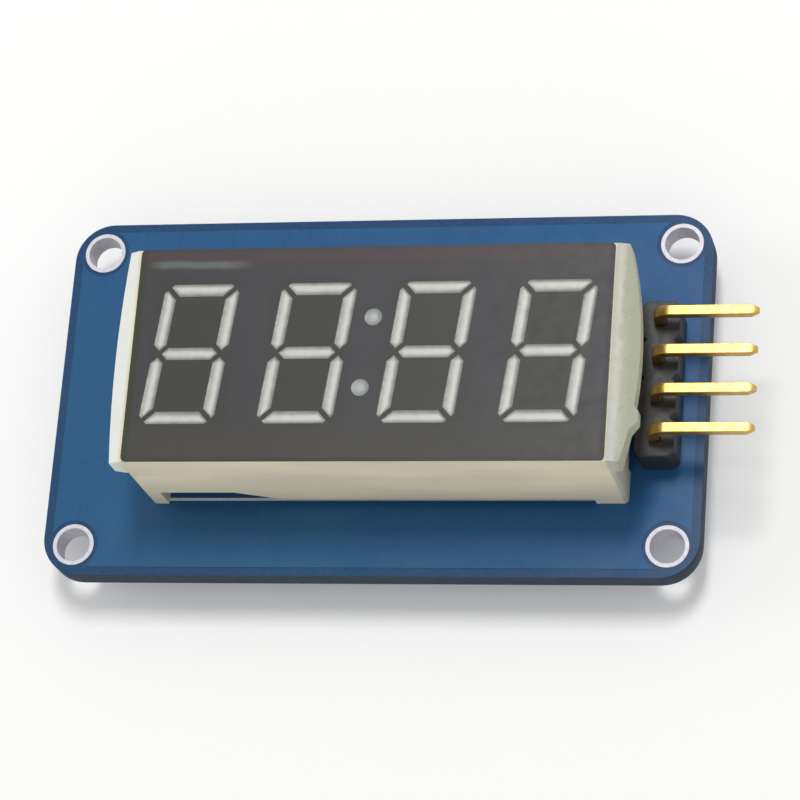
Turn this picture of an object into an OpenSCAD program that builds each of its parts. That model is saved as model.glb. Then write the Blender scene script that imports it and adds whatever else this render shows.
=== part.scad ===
// Four-digit seven segment display module on a small circuit board.
// Millimetres. The origin is the centre of the mounting holes, on the board's back face.
// +Z points out of the display, +X towards the header, +Y towards the digits' tops.

/* [Circuit board] */
// Board length along X
board_w = 42; // [40:0.5:56]
// Board width along Y
board_d = 24; // [23:0.5:36]
// Thickness of the laminate
board_t = 1.6; // [0.8:0.2:2.4]
// Radius of the board's corners
board_r = 2.5; // [0.5:0.1:3]
// Mounting hole diameter
hole_d = 2.2; // [1.6:0.1:2.6]
// Distance from the board's edges to a mounting hole's centre
hole_inset = 2; // [1.8:0.1:2.6]
// Width of the tinned ring round a mounting hole
hole_ring = 0.2; // [0.15:0.05:0.4]
// Thickness of the copper lands, rings and plated walls
copper_t = 0.05; // [0.04:0.01:0.08]

/* [Display housing] */
// Length of the display between its end walls, without the lips
disp_w = 30.5; // [29:0.5:33]
// Width of the display along Y
disp_d = 14; // [13.5:0.1:15]
// Place of the display's centre line along Y
disp_y = -0.25; // [-0.6:0.05:0.6]
// Gap between the display's end wall and the header's insulator
disp_gap = 0.55; // [0.4:0.05:1.5]
// Height of the moulded shell, without its feet
shell_h = 7.1; // [6.8:0.1:8]
// Thickness of the shell's outer walls
wall_t = 1; // [0.7:0.05:1.2]
// Radius of the shell's upright corners
shell_r = 0.3; // [0.1:0.05:0.6]
// Height of the corner feet
foot_h = 0.85; // [0.6:0.05:1.5]
// Length of a corner foot along each wall
foot_l = 2; // [1.4:0.1:3]
// Height of the notch in the front wall, above the wall's lower edge
notch_h = 1.3; // [0.5:0.1:1.5]
// Length of the notch at its full height
notch_l = 4.8; // [2:0.1:8]
// Length over which the notch runs out
notch_run = 2.8; // [0.5:0.1:4]
// Distance from the shell's left end to the notch
notch_x = 1.1; // [0.8:0.1:3]
// Thickness of the dark face film
film_t = 0.15; // [0.1:0.01:0.25]
// Bare rim between the face film and the shell's end walls
film_inset = 0.25; // [0:0.05:0.4]
// Reach of the left lip beyond the wall, at its middle
lip_left = 0.95; // [0.8:0.05:1.6]
// Reach of the right lip beyond the wall, at its middle
lip_right = 1.5; // [0.8:0.05:1.6]
// Reach of a lip beyond the wall, at its ends
lip_end = 0.6; // [0.3:0.05:0.75]
// Thickness of an end lip where it meets the wall
lip_t = 1.5; // [1:0.1:1.8]
// Fall of a lip's top from the wall to its edge
lip_fall = 0.5; // [0.2:0.05:0.7]
// Rise of a lip's underside from the wall to its edge
lip_root = 0.5; // [0.2:0.05:0.8]
// Width of the broken moulding gate on the right lip, at its root
gate_w = 2.8; // [2:0.1:4]
// Reach of the gate beyond the wall
gate_reach = 1.55; // [1.4:0.05:1.8]
// Distance from the display's front to the gate's middle
gate_y = 3; // [2.4:0.1:5]

/* [Digits] */
// Height of a digit
digit_h = 9.2; // [8.8:0.1:10]
// Width of a digit, before its slant
digit_w = 4.8; // [4.4:0.1:5.2]
// Distance from the display's end walls to the middle of an end digit
digit_inset = 4; // [3.6:0.05:4.3]
// Slant of the digits to the right, in degrees
slant = 6; // [0:1:10]
// Width of a segment
seg_w = 0.8; // [0.6:0.05:0.9]
// Gap between neighbouring segments
seg_gap = 0.3; // [0.2:0.05:0.4]
// Cut across a digit's outer corners
seg_cut = 0.55; // [0.3:0.05:0.7]
// Width of a segment's well at the LED board
well_w = 0.5; // [0.4:0.05:0.55]
// Straight depth at the top of a well
well_land = 0.8; // [0.4:0.1:1.5]
// Diameter of a colon dot
dot_d = 1.1; // [0.8:0.1:1.3]
// Distance between the two colon dots along Y
dot_span = 4.6; // [3.6:0.1:5.4]

/* [Inside the display] */
// Depth of the epoxy that seals the shell's back
potting_t = 1.2; // [1:0.1:2]
// Distance from the shell's lower edge up to the epoxy
potting_z = 1.3; // [0.5:0.1:1.5]
// Thickness of the LED board
led_board_t = 0.8; // [0.6:0.1:1]
// Clearance round the LED board
led_board_gap = 0.1; // [0.05:0.05:0.2]
// Side of an LED die
die_w = 0.28; // [0.2:0.02:0.34]
// Height of an LED die
die_h = 0.2; // [0.1:0.02:0.3]

/* [Display leads] */
// Leads in each row
lead_count = 6; // [4:1:6]
// Distance between leads in a row
lead_pitch = 2.54; // [2.2:0.02:2.6]
// Distance from the display's long walls to a row of leads
lead_inset = 1.92; // [1.7:0.02:2.2]
// Diameter of a lead
lead_d = 0.5; // [0.4:0.02:0.6]
// Length that a lead stands out of the board's back
lead_tail = 2.4; // [1.6:0.1:2.4]
// Clearance round a lead in the LED board
lead_gap = 0.05; // [0.03:0.01:0.1]
// Diameter of the drilled holes for the leads
lead_drill = 1; // [0.9:0.05:1.1]
// Width of the copper ring round a plated hole
ring_w = 0.35; // [0.25:0.05:0.45]
// Height of a solder joint on the board's back
joint_h = 1; // [0.6:0.1:1.3]
// Thickness of the solder round a lead or pin at the joint's tip
joint_skin = 0.1; // [0.05:0.01:0.15]

/* [Header] */
// Number of pins
pin_count = 4; // [3:1:5]
// Distance between pins
pin_pitch = 2.54; // [2.5:0.01:2.6]
// Side of a square pin
pin_w = 0.64; // [0.56:0.02:0.66]
// Distance from the board's right edge to the row of pins
pin_edge = 2.7; // [2.2:0.1:3.2]
// Width of the insulator along X
hdr_w = 2.5; // [2.3:0.05:2.7]
// Height of the insulator
hdr_h = 2.54; // [2.2:0.02:2.8]
// Cut across the corners of each cell of the insulator
hdr_cut = 0.4; // [0.2:0.05:0.6]
// Height of the arch under each cell of the insulator
arch_h = 0.3; // [0.1:0.05:0.5]
// Width of the arch under each cell of the insulator
arch_w = 1.3; // [1:0.05:1.6]
// Rise from the insulator's top to the middle of the bent pins
pin_lift = 1.4; // [1.3:0.05:1.7]
// Radius of the bend at the middle of a pin
bend_r = 0.8; // [0.6:0.05:0.95]
// Reach of the pins beyond the board's edge
pin_reach = 3.6; // [3:0.1:6]
// Length of a pin's tail out of the board's back
pin_tail = 1.4; // [1.2:0.1:2.3]
// Length of the taper at a pin's ends
pin_taper = 0.5; // [0.2:0.05:0.6]
// Diameter of the drilled holes for the pins
pin_drill = 1.1; // [1.06:0.01:1.3]

/* [Driver chip] */
// Length of the chip's body
chip_l = 12.8; // [12.4:0.1:13.2]
// Width of the chip's body
chip_w = 7.5; // [7:0.1:8]
// Height of the chip's body
chip_h = 2.25; // [2:0.05:2.3]
// Gap between the chip's body and the lands
chip_lift = 0.1; // [0.05:0.01:0.3]
// Slope of the body's moulded sides, in degrees
chip_draft = 7; // [3:1:12]
// Cut along the body's edge on the first leg's side
chip_bevel = 0.35; // [0.2:0.05:0.5]
// Distance from the chip's toes to the first pair of display leads
chip_clear = 2; // [1.6:0.1:2.6]
// Legs on each side
leg_count = 10; // [8:1:10]
// Distance between legs
leg_pitch = 1.27; // [1.2:0.01:1.3]
// Reach of a leg from the body's side to its toe
leg_reach = 1.4; // [1.3:0.05:1.6]
// Width of a leg
leg_w = 0.4; // [0.3:0.02:0.5]
// Thickness of a leg
leg_t = 0.25; // [0.15:0.01:0.3]
// Radius at the middle of a leg's bends
leg_r = 0.3; // [0.25:0.01:0.35]
// Slope of a leg between its bends, in degrees
leg_angle = 80; // [72:1:85]
// Length of a leg's foot, from its bend to its toe
leg_foot = 0.5; // [0.4:0.05:0.6]
// Length of a chip land beyond the toe
land_toe = 0.5; // [0.3:0.05:0.7]
// Width of a chip land
land_w = 0.56; // [0.5:0.02:0.7]
// Depth of the round mark beside the first leg
mark_depth = 0.1; // [0.05:0.01:0.2]

/* [Chip capacitors and resistors] */
// Length of a small capacitor
cap_l = 1.6; // [1.2:0.1:2]
// Width of a small capacitor
cap_w = 0.8; // [0.6:0.05:1.2]
// Height of a small capacitor
cap_h = 0.8; // [0.5:0.05:1]
// Length of the large capacitor
bulk_l = 2; // [1.6:0.1:2.2]
// Width of the large capacitor
bulk_w = 1.25; // [0.8:0.05:1.4]
// Height of the large capacitor
bulk_h = 1.25; // [0.8:0.05:1.4]
// Length of a resistor
res_l = 1.6; // [1.2:0.1:2]
// Width of a resistor
res_w = 0.8; // [0.6:0.05:1.2]
// Height of a resistor
res_h = 0.45; // [0.35:0.05:0.6]
// Length of a tinned end
end_l = 0.35; // [0.25:0.05:0.45]
// Thickness of a tinned end's skin
end_t = 0.05; // [0.03:0.01:0.08]
// Length of a land beyond a tinned end
land_out = 0.5; // [0.3:0.05:0.6]
// Distance between the two columns of parts
part_col = 4.2; // [4:0.1:4.6]
// Distance between the rows of parts
part_row = 2.4; // [2:0.1:3]
// Distance from the chip's body to the capacitor at its end
part_clear = 2; // [1.4:0.1:2.2]
// Share of a land's free length that its solder covers
land_fill = 0.8; // [0.5:0.05:0.95]
// Height of the solder against a tinned end, as a share of the part's height
end_fill = 0.6; // [0.4:0.05:0.8]
// Width of the solder on a tinned end, as a share of the part's width
end_cover = 0.75; // [0.5:0.05:0.9]

/* [Hidden] */
$fn = 48;
// Overlap that a cut takes beyond the face that it leaves
over = 0.2;

// Levels along Z
shell_z = board_t + foot_h;
shell_top = shell_z + shell_h;
epoxy_z = shell_z + potting_z;
led_board_z = epoxy_z + potting_t;
well_z = led_board_z + led_board_t;
well_h = shell_top - well_z;
hdr_z = board_t + copper_t;
hdr_top = hdr_z + hdr_h;
pin_z = hdr_top + pin_lift;

// Places along X and Y
hdr_x = board_w / 2 - pin_edge;
disp_x = hdr_x - hdr_w / 2 - disp_gap - disp_w / 2;
toe_span = chip_w + 2 * leg_reach;
lead_run = (lead_count - 1) * lead_pitch;
lead_y = disp_d / 2 - lead_inset;
chip_x = disp_x - lead_run / 2 - chip_clear - toe_span / 2;
part_x = (disp_x + lead_run / 2 + hdr_x) / 2;

hole_sites = [for (x = [-1, 1], y = [-1, 1])
    [x * (board_w / 2 - hole_inset), y * (board_d / 2 - hole_inset)]];
lead_sites = [for (row = [-1, 1], i = [0 : lead_count - 1])
    [disp_x + i * lead_pitch - lead_run / 2, disp_y + row * lead_y]];
pin_sites = [for (i = [0 : pin_count - 1]) [hdr_x, (i - (pin_count - 1) / 2) * pin_pitch]];

// Each capacitor and resistor on the back: place, and length, width and height
cap_size = [cap_l, cap_w, cap_h];
bulk_size = [bulk_l, bulk_w, bulk_h];
res_size = [res_l, res_w, res_h];
caps = [
    [part_x + part_col / 2, part_row, cap_size],
    [part_x + part_col / 2, 0, cap_size],
    [part_x + part_col / 2, -part_row, bulk_size],
    [chip_x, chip_l / 2 + part_clear, cap_size]
];
resistors = [
    [part_x - part_col / 2, part_row / 2, res_size],
    [part_x - part_col / 2, -part_row / 2, res_size]
];

digit_count = 4;
lead_names = [for (i = [1 : len(lead_sites)]) str("display_lead_", i)];
pin_names = [for (i = [1 : pin_count]) str("header_pin_", i)];
digit_names = [for (i = [1 : digit_count]) str("digit_", i, "_segments")];
cap_names = [for (i = [1 : len(caps)]) str("capacitor_", i)];
resistor_names = [for (i = [1 : len(resistors)]) str("resistor_", i)];

// Puts a shape that stands on a board's top under this board's back face
module on_back(site) {
    translate([site[0], site[1], 0]) rotate([180, 0, 0]) children();
}

module rounded_plate(w, d, r) {
    square([w - 2 * r, d], center = true);
    square([w, d - 2 * r], center = true);
    for (x = [-1, 1], y = [-1, 1])
        translate([x * (w / 2 - r), y * (d / 2 - r)]) circle(r);
}

// Side profile along X, extruded by w across Y and centred on it
module across(w) {
    rotate([90, 0, 0]) translate([0, 0, -w / 2]) linear_extrude(w) children();
}

// Board

module circuit_board() {
    color([0.18, 0.35, 0.58])
    difference() {
        linear_extrude(board_t) rounded_plate(board_w, board_d, board_r);
        for (site = hole_sites) translate([site[0], site[1], -over])
            cylinder(h = board_t + 2 * over, d = hole_d + 2 * copper_t);
        for (site = lead_sites)
            translate([site[0], site[1], -over]) cylinder(h = board_t + 2 * over, d = lead_drill);
        for (site = pin_sites)
            translate([site[0], site[1], -over]) cylinder(h = board_t + 2 * over, d = pin_drill);
    }
}

// Copper wall of a drilled hole with a ring of that width on both faces
module plated_hole(drill, width) {
    wall = drill / 2 - copper_t;
    ring = drill / 2 + width;
    rotate_extrude() polygon([
        [wall, -copper_t], [ring, -copper_t], [ring, 0], [drill / 2, 0],
        [drill / 2, board_t], [ring, board_t], [ring, board_t + copper_t], [wall, board_t + copper_t]
    ]);
}

module mounting_hole_rings() {
    color([0.82, 0.82, 0.84]) for (site = hole_sites)
        translate([site[0], site[1], 0]) plated_hole(hole_d + 2 * copper_t, hole_ring);
}

module display_plated_holes() {
    color([0.80, 0.80, 0.78]) for (site = lead_sites)
        translate([site[0], site[1], 0]) plated_hole(lead_drill, ring_w);
}

module header_plated_holes() {
    color([0.80, 0.80, 0.78]) for (site = pin_sites)
        translate([site[0], site[1], 0]) plated_hole(pin_drill, ring_w);
}

// Solder round a pin: it fills the plated hole and rises to the pin in a hollow cone
module solder_joint(drill, neck) {
    wall = drill / 2 - copper_t;
    ring = drill / 2 + ring_w;
    low = -copper_t - joint_h;
    rotate_extrude() polygon(concat(
        [[0, board_t + copper_t], [wall, board_t + copper_t], [wall, -copper_t]],
        [for (a = [90 : -15 : 0]) [ring - (ring - neck) * cos(a), low + joint_h * sin(a)]],
        [[0, low]]
    ));
}

module display_joints() {
    neck = lead_d / 2 + joint_skin;
    color([0.78, 0.79, 0.80]) for (site = lead_sites)
        translate([site[0], site[1], 0]) difference() {
            solder_joint(lead_drill, neck);
            translate([0, 0, -joint_h - over - copper_t])
                cylinder(h = joint_h + board_t + 2 * (over + copper_t), d = lead_d);
        }
}

module header_joints() {
    neck = pin_w * sqrt(0.5) + joint_skin;
    color([0.78, 0.79, 0.80]) for (site = pin_sites)
        translate([site[0], site[1], 0]) difference() {
            solder_joint(pin_drill, neck);
            translate([-pin_w / 2, -pin_w / 2, -joint_h - over - copper_t])
                cube([pin_w, pin_w, joint_h + board_t + 2 * (over + copper_t)]);
        }
}

// Segment outlines: points before the slant, for the top bar, the upper right bar
// and the middle bar. The others are mirrored from them.

miter = seg_gap * sqrt(0.5);

function slanted(points) = [for (p = points) [p[0] + p[1] * tan(slant), p[1]]];
function mirrored(points, x, y) = [for (p = points) [p[0] * x, p[1] * y]];

function top_bar() =
    let (x = digit_w / 2, y = digit_h / 2,
         half = [[x - seg_cut, y],
                 [x - (seg_cut + miter) / 2, y - (seg_cut - miter) / 2],
                 [x - seg_w - miter, y - seg_w]])
    concat(half, [for (i = [2 : -1 : 0]) [-half[i][0], half[i][1]]]);

function side_bar() =
    let (x = digit_w / 2, y = digit_h / 2)
    [[x, y - seg_cut],
     [x - (seg_cut - miter) / 2, y - (seg_cut + miter) / 2],
     [x - seg_w, y - seg_w - miter],
     [x - seg_w, miter + seg_w / 2],
     [x - seg_w / 2, miter],
     [x, miter + seg_w / 2]];

function middle_bar() =
    let (tip = digit_w / 2 - seg_w / 2 - miter, shoulder = tip - seg_w / 2)
    [[tip, 0], [shoulder, seg_w / 2], [-shoulder, seg_w / 2],
     [-tip, 0], [-shoulder, -seg_w / 2], [shoulder, -seg_w / 2]];

// Each segment: outline, centre before the slant, and 1 for an upright bar
bar_x = (digit_w - seg_w) / 2;
bar_y = (digit_h - seg_w) / 2;
segments = [
    [top_bar(), [0, bar_y], 0],
    [side_bar(), [bar_x, digit_h / 4], 1],
    [mirrored(side_bar(), 1, -1), [bar_x, -digit_h / 4], 1],
    [mirrored(top_bar(), 1, -1), [0, -bar_y], 0],
    [mirrored(side_bar(), -1, -1), [-bar_x, -digit_h / 4], 1],
    [mirrored(side_bar(), -1, 1), [-bar_x, digit_h / 4], 1],
    [middle_bar(), [0, 0], 0]
];
digit_pitch = (disp_w - 2 * digit_inset) / (digit_count - 1);
digit_sites = [for (i = [0 : digit_count - 1])
    [disp_x + (i - (digit_count - 1) / 2) * digit_pitch, disp_y]];
dot_sites = [for (y = [-1, 1] * dot_span / 2) [disp_x + y * tan(slant), disp_y + y]];

// Well of one segment between two heights over the LED board: its outline at the top,
// narrowing like a trough towards the LED board
module segment_well(segment, low, high) {
    slope = (seg_w - well_w) / 2 / (well_h - well_land);
    foot = well_w / 2 + low * slope;
    brim = well_w / 2 + high * slope;
    centre = slanted([segment[1]])[0];
    intersection() {
        translate([0, 0, low]) linear_extrude(high - low) polygon(slanted(segment[0]));
        translate([centre[0], centre[1], 0]) rotate([0, 0, 90 - segment[2] * (90 + slant)])
            across(digit_h)
                polygon([[-foot, low], [foot, low], [brim, high], [-brim, high]]);
    }
}

// Well of a colon dot between two heights over the LED board
module dot_well(low, high) {
    slope = (dot_d / 2 - well_w / 2) / (well_h - well_land);
    rotate_extrude() polygon([
        [0, low], [well_w / 2 + low * slope, low],
        [dot_d / 2, well_h - well_land], [dot_d / 2, high], [0, high]
    ]);
}

module die_at(site) {
    translate([site[0] - die_w / 2, site[1] - die_w / 2, 0]) cube([die_w, die_w, die_h]);
}

// Display

// Bowed lip along the top of one end wall, in plan: the bow is an arc through its middle and ends
module lip_plan(reach) {
    rise = reach - lip_end;
    bow = (disp_d * disp_d / 4 + rise * rise) / (2 * rise);
    intersection() {
        translate([-wall_t / 2, -disp_d / 2]) square([wall_t / 2 + reach + over, disp_d]);
        translate([reach - bow, 0]) circle(bow, $fn = 360);
    }
}

// Stub of the gate in plan, broken off and narrower at its tip
module gate_plan() {
    translate([0, gate_y - disp_d / 2]) polygon([
        [-wall_t / 2, -gate_w / 2], [lip_end, -gate_w / 2], [gate_reach, -gate_w / 8],
        [gate_reach, gate_w / 8], [lip_end, gate_w / 2], [-wall_t / 2, gate_w / 2]
    ]);
}

// Lip with its outline in plan, sloped on top and undercut below
module end_lip(reach) {
    edge = reach + over;
    fall = lip_fall * edge / reach;
    root = lip_root * edge / reach;
    intersection() {
        translate([0, 0, -lip_t - lip_root - over]) linear_extrude(lip_t + lip_root + 2 * over)
            children();
        across(disp_d + over) polygon([
            [-wall_t / 2, 0], [0, 0], [edge, -fall],
            [edge, -lip_t - lip_root + root], [0, -lip_t - lip_root], [-wall_t / 2, -lip_t - lip_root]
        ]);
    }
}

module display_housing() {
    color([0.90, 0.89, 0.84])
    difference() {
        union() {
            translate([disp_x, disp_y, shell_z]) linear_extrude(shell_h)
                rounded_plate(disp_w, disp_d, shell_r);
            translate([disp_x, disp_y, board_t]) linear_extrude(foot_h + over) intersection() {
                rounded_plate(disp_w, disp_d, shell_r);
                for (x = [-1, 1], y = [-1, 1])
                    translate([x * (disp_w - foot_l) / 2, y * (disp_d - foot_l) / 2])
                        square(foot_l, center = true);
            }
            translate([disp_x + disp_w / 2, disp_y, shell_top]) end_lip(lip_right) {
                lip_plan(lip_right);
                gate_plan();
            }
            translate([disp_x - disp_w / 2, disp_y, shell_top]) rotate([0, 0, 180])
                end_lip(lip_left) lip_plan(lip_left);
        }
        translate([disp_x - disp_w / 2 + wall_t, disp_y - disp_d / 2 + wall_t, board_t - over])
            cube([disp_w - 2 * wall_t, disp_d - 2 * wall_t, well_z - board_t + over]);
        for (site = digit_sites, segment = segments)
            translate([site[0], site[1], well_z]) segment_well(segment, -over, well_h + over);
        for (site = dot_sites)
            translate([site[0], site[1], well_z]) dot_well(-over, well_h + over);
        translate([disp_x - disp_w / 2 + notch_x, disp_y - (disp_d - wall_t) / 2, shell_z])
            across(wall_t + over) polygon([
                [0, -foot_h], [0, notch_h], [notch_l, notch_h], [notch_l + notch_run, 0],
                [notch_l + notch_run, -foot_h]
            ]);
    }
}

module face_film() {
    color([0.22, 0.21, 0.23])
    translate([0, 0, shell_top]) linear_extrude(film_t) difference() {
        translate([disp_x, disp_y]) rounded_plate(disp_w - 2 * film_inset, disp_d, shell_r);
        for (site = digit_sites, segment = segments)
            translate(site) polygon(slanted(segment[0]));
        for (site = dot_sites) translate(site) circle(d = dot_d);
    }
}

module digit_segments(site) {
    color([0.84, 0.84, 0.82])
    translate([site[0], site[1], well_z]) for (segment = segments) difference() {
        segment_well(segment, 0, well_h + film_t);
        die_at(slanted([segment[1]])[0]);
    }
}

module colon_dots() {
    color([0.62, 0.65, 0.65]) for (site = dot_sites)
        translate([site[0], site[1], well_z]) difference() {
            dot_well(0, well_h + film_t);
            die_at([0, 0]);
        }
}

module led_dies() {
    color([0.75, 0.30, 0.20]) translate([0, 0, well_z]) {
        for (site = digit_sites, segment = segments)
            translate(site) die_at(slanted([segment[1]])[0]);
        for (site = dot_sites) die_at(site);
    }
}

module led_board() {
    gap = 2 * (wall_t + led_board_gap);
    color([0.25, 0.45, 0.28])
    difference() {
        translate([disp_x, disp_y, led_board_z]) linear_extrude(led_board_t)
            square([disp_w - gap, disp_d - gap], center = true);
        for (site = lead_sites) translate([site[0], site[1], led_board_z - over])
            cylinder(h = led_board_t + 2 * over, d = lead_d + 2 * lead_gap);
    }
}

module back_potting() {
    color([0.88, 0.87, 0.80])
    difference() {
        translate([disp_x, disp_y, epoxy_z]) linear_extrude(potting_t)
            square([disp_w - 2 * wall_t, disp_d - 2 * wall_t], center = true);
        for (site = lead_sites) translate([site[0], site[1], epoxy_z - over])
            cylinder(h = potting_t + 2 * over, d = lead_d);
    }
}

module display_lead(site) {
    tip = lead_d / 4;
    color([0.80, 0.80, 0.80]) translate([site[0], site[1], -lead_tail]) {
        cylinder(h = tip, d1 = lead_d - 2 * tip, d2 = lead_d);
        translate([0, 0, tip]) cylinder(h = lead_tail + well_z - tip, d = lead_d);
    }
}

// Header

// Row of breakaway cells with cut corners, a square hole for each pin and an arch below it
module header_insulator() {
    x = hdr_w / 2;
    y = pin_pitch / 2;
    cell = [[x, y - hdr_cut], [x - hdr_cut, y], [hdr_cut - x, y], [-x, y - hdr_cut],
            [-x, hdr_cut - y], [hdr_cut - x, -y], [x - hdr_cut, -y], [x, hdr_cut - y]];
    color([0.10, 0.10, 0.11]) difference() {
        translate([0, 0, hdr_z]) linear_extrude(hdr_h) difference() {
            for (site = pin_sites) translate(site) polygon(cell);
            for (site = pin_sites) translate(site) square(pin_w, center = true);
        }
        for (site = pin_sites) translate([site[0] - hdr_w, site[1] - arch_w / 2, hdr_z - over])
            cube([2 * hdr_w, arch_w, arch_h + over]);
    }
}

// Square rod along +Z with a taper at its start (low) or its end (high)
module square_rod(l, low, high) {
    edge = pin_w / 2;
    tip = pin_w / 4;
    profile = [[-(low > 0 ? tip : edge), 0], [low > 0 ? tip : edge, 0], [edge, low],
               [edge, l - high], [high > 0 ? tip : edge, l], [-(high > 0 ? tip : edge), l],
               [-edge, l - high], [-edge, low]];
    intersection() {
        across(pin_w) polygon(profile);
        rotate([0, 0, 90]) across(pin_w) polygon(profile);
    }
}

// Pin up through the board and the insulator, bent towards +X
module header_pin(site) {
    rise = pin_z - bend_r;
    color([0.85, 0.70, 0.35]) translate([site[0], site[1], 0]) {
        translate([0, 0, -pin_tail]) square_rod(rise + pin_tail, pin_taper, 0);
        translate([bend_r, 0, rise]) rotate([90, 0, 0]) rotate([0, 0, 90])
            rotate_extrude(angle = 90) translate([bend_r, 0]) square(pin_w, center = true);
        translate([bend_r, 0, pin_z]) rotate([0, 90, 0])
            square_rod(pin_edge + pin_reach - bend_r, 0, pin_taper);
    }
}

// Driver chip, modelled as it would stand on a board's top

chip_z = copper_t + chip_lift;
leg_z = chip_z + chip_h / 2;
leg_sites = [for (i = [0 : leg_count - 1]) (i - (leg_count - 1) / 2) * leg_pitch];

// Six-sided section of the moulded body, widest at its parting line
function body_section(w) =
    let (cut = chip_h / 2 * tan(chip_draft))
    [[-w / 2, leg_z], [-w / 2 + cut, chip_z], [w / 2 - cut, chip_z],
     [w / 2, leg_z], [w / 2 - cut, chip_z + chip_h], [-w / 2 + cut, chip_z + chip_h]];

module chip_body() {
    top = chip_z + chip_h;
    mark = chip_w / 8;
    color([0.13, 0.13, 0.14]) on_back([chip_x, 0])
    difference() {
        intersection() {
            across(chip_l + over) polygon(body_section(chip_w));
            rotate([0, 0, 90]) across(chip_w + over) polygon(body_section(chip_l));
        }
        translate([-chip_w / 2, 0, top]) rotate([0, 45, 0])
            cube([chip_bevel * 2, chip_l + over, chip_bevel * 2], center = true);
        translate([-chip_w / 2 + 2 * mark, -chip_l / 2 + 2 * mark, top - mark_depth])
            cylinder(h = mark_depth + over, d = mark);
        for (y = leg_sites, side = [-1, 1]) translate([side * chip_w / 2, y, leg_z])
            cube([2 * leg_bite, leg_w, leg_t], center = true);
    }
}

// Depth of a leg inside the body, and the run of its two bends
leg_bite = 0.3;
leg_drop = leg_z - copper_t - leg_t / 2;
leg_fall = (leg_drop - 2 * leg_r * (1 - cos(leg_angle))) / sin(leg_angle);
leg_run = 2 * leg_r * sin(leg_angle) + leg_fall * cos(leg_angle);
foot_x = toe_span / 2 - leg_foot;

// One side of a leg's strip, s above its middle line
function leg_side(s) = concat(
    [[chip_w / 2 - leg_bite, leg_z + s]],
    [for (i = [0 : 6]) let (a = leg_angle * i / 6)
        [foot_x - leg_run + (leg_r + s) * sin(a), leg_z - leg_r + (leg_r + s) * cos(a)]],
    [for (i = [6 : -1 : 0]) let (a = leg_angle * i / 6)
        [foot_x - (leg_r - s) * sin(a), copper_t + leg_t / 2 + leg_r - (leg_r - s) * cos(a)]],
    [[toe_span / 2, copper_t + leg_t / 2 + s]]
);

module at_legs() {
    for (side = [0, 180], y = leg_sites) rotate([0, 0, side]) translate([0, y, 0]) children();
}

module chip_legs() {
    low = leg_side(-leg_t / 2);
    color([0.80, 0.80, 0.82]) on_back([chip_x, 0]) at_legs() across(leg_w)
        polygon(concat(leg_side(leg_t / 2), [for (i = [len(low) - 1 : -1 : 0]) low[i]]));
}

module chip_lands() {
    inner = foot_x - leg_r;
    color([0.80, 0.80, 0.78]) on_back([chip_x, 0]) at_legs()
        translate([inner, -land_w / 2, 0]) cube([toe_span / 2 + land_toe - inner, land_w, copper_t]);
}

// Hollow solder wedge against a wall at x = 0, on a land
function wedge(l, h) = concat(
    [[0, copper_t]],
    [for (a = [90 : -15 : 0]) [l - l * cos(a), copper_t + h - h * sin(a)]]
);

module chip_joints() {
    color([0.78, 0.79, 0.80]) on_back([chip_x, 0]) at_legs()
        translate([toe_span / 2, 0, 0]) across(leg_w) polygon(wedge(land_toe * land_fill, leg_t));
}

// Chip capacitors and resistors, modelled as they would stand on a board's top

module core(size) {
    translate([0, 0, copper_t + size[2] / 2]) rotate([90, 0, 90])
        translate([0, 0, end_t - size[0] / 2]) linear_extrude(size[0] - 2 * end_t)
            rounded_plate(size[1] - 2 * end_t, size[2] - 2 * end_t, size[2] / 12);
}

module tinned_ends(size) {
    for (side = [0, 180]) rotate([0, 0, side]) difference() {
        translate([size[0] / 2 - end_l, 0, copper_t + size[2] / 2]) rotate([90, 0, 90])
            linear_extrude(end_l) rounded_plate(size[1], size[2], size[2] / 8);
        core(size);
    }
}

module lands(size) {
    for (side = [0, 180]) rotate([0, 0, side])
        translate([size[0] / 2 - end_l, -size[1] / 2, 0]) cube([end_l + land_out, size[1], copper_t]);
}

module end_joints(size) {
    for (side = [0, 180]) rotate([0, 0, side]) translate([size[0] / 2, 0, 0])
        across(size[1] * end_cover) polygon(wedge(land_out * land_fill, size[2] * end_fill));
}

module capacitor(part) {
    color([0.72, 0.60, 0.45]) on_back(part) core(part[2]);
}

module resistor(part) {
    color([0.92, 0.92, 0.90]) on_back(part) core(part[2]);
}

module part_ends(part) {
    color([0.82, 0.82, 0.84]) on_back(part) tinned_ends(part[2]);
}

// Black overcoat on the resistor's outer face, between its tinned ends
module resistor_coat(part) {
    size = part[2];
    color([0.10, 0.10, 0.12]) on_back(part)
        translate([end_l - size[0] / 2, end_t - size[1] / 2, copper_t + size[2] - end_t])
            cube([size[0] - 2 * end_l, size[1] - 2 * end_t, end_t]);
}

module part_lands() {
    color([0.80, 0.80, 0.78]) for (part = concat(caps, resistors)) on_back(part) lands(part[2]);
}

module part_joints() {
    color([0.78, 0.79, 0.80]) for (part = concat(caps, resistors)) on_back(part) end_joints(part[2]);
}

circuit_board();
mounting_hole_rings();
display_plated_holes();
header_plated_holes();
chip_lands();
part_lands();
display_housing();
face_film();
colon_dots();
led_dies();
led_board();
back_potting();
for (i = [0 : digit_count - 1])
    digit_segments(digit_sites[i]);
for (i = [0 : len(lead_sites) - 1])
    display_lead(lead_sites[i]);
display_joints();
header_insulator();
for (i = [0 : pin_count - 1])
    header_pin(pin_sites[i]);
header_joints();
chip_body();
chip_legs();
chip_joints();
for (i = [0 : len(caps) - 1]) {
    capacitor(caps[i]);
    part_ends(caps[i]);
}
for (i = [0 : len(resistors) - 1]) {
    resistor(resistors[i]);
    resistor_coat(resistors[i]);
    part_ends(resistors[i]);
}
part_joints();
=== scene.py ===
import math

import bmesh
import bpy
from mathutils import Matrix, Vector, noise
from mathutils.geometry import delaunay_2d_cdt


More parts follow.
